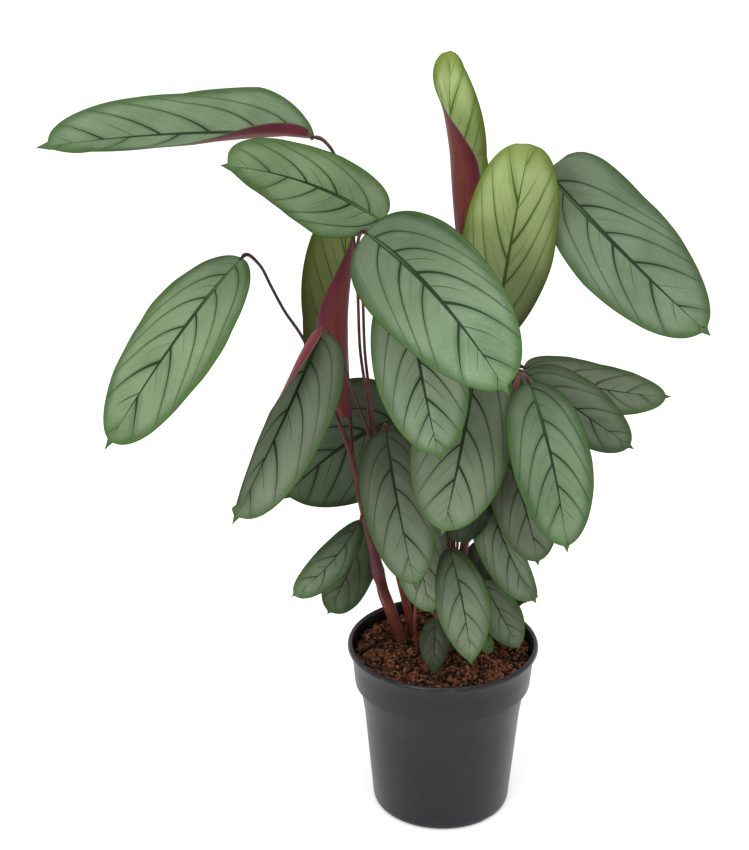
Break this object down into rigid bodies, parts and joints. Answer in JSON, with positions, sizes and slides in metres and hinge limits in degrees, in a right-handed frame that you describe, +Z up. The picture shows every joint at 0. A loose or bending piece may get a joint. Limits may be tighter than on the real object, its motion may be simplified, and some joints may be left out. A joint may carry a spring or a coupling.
{
  "type": "potted plant",
  "caption": "Potted silverstar calathea: oblong silver-green leaves with dark veins and burgundy backs on long stalks, in a plain round nursery pot filled with soil.",
  "frame": {"origin": "centre of the pot's base, on the surface it stands on", "axes": "+Z up; the plant's front, as pictured, faces -Y; +X to the viewer's right"},
  "size_m": [0.5435, 0.3018, 0.6712],
  "materials": {
    "leaf": "silver-green satin leaf with dark green veins, burgundy underneath",
    "young_leaf": "pale yellow-green satin young leaf, burgundy underneath",
    "stalk": "red-brown satin stalk",
    "pot": "satin charcoal moulded plastic",
    "soil": "rough red-brown coir and peat crumbs"
  },
  "bodies": {
    "root": {"leaf_back_left": "leaf", "leaf_back_low_left": "leaf", "leaf_back_low_right": "leaf", "leaf_back_middle": "leaf", "leaf_back_right": "leaf", "leaf_back_top": "leaf", "leaf_centre_left": "leaf", "leaf_centre_low": "leaf", "leaf_centre_shaded": "leaf", "leaf_far_left": "leaf", "leaf_front_large": "leaf", "leaf_front_lower": "leaf", "leaf_front_middle": "leaf", "leaf_left_folded": "leaf", "leaf_left_low": "leaf", "leaf_left_lowest": "leaf", "leaf_left_shaded": "leaf", "leaf_low_dark": "leaf", "leaf_low_front": "leaf", "leaf_low_right": "leaf", "leaf_low_shaded": "leaf", "leaf_low_tiny": "leaf", "leaf_right_behind": "leaf", "leaf_right_front": "leaf", "leaf_right_low": "leaf", "leaf_right_lower": "leaf", "leaf_right_upper": "leaf", "leaf_top_left": "leaf", "leaf_top_right": "leaf", "leaf_upper_left": "leaf", "pot": "pot", "shoot_centre": "stalk", "shoot_left": "stalk", "shoot_middle": "stalk", "shoot_right": "stalk", "soil": "soil", "stalk_centre_low": "stalk", "stalk_low_dark": "stalk", "stalk_low_right": "stalk", "young_leaf_left": "young_leaf", "young_leaf_pale": "young_leaf", "young_leaf_top": "young_leaf"}
  },
  "joints": []
}
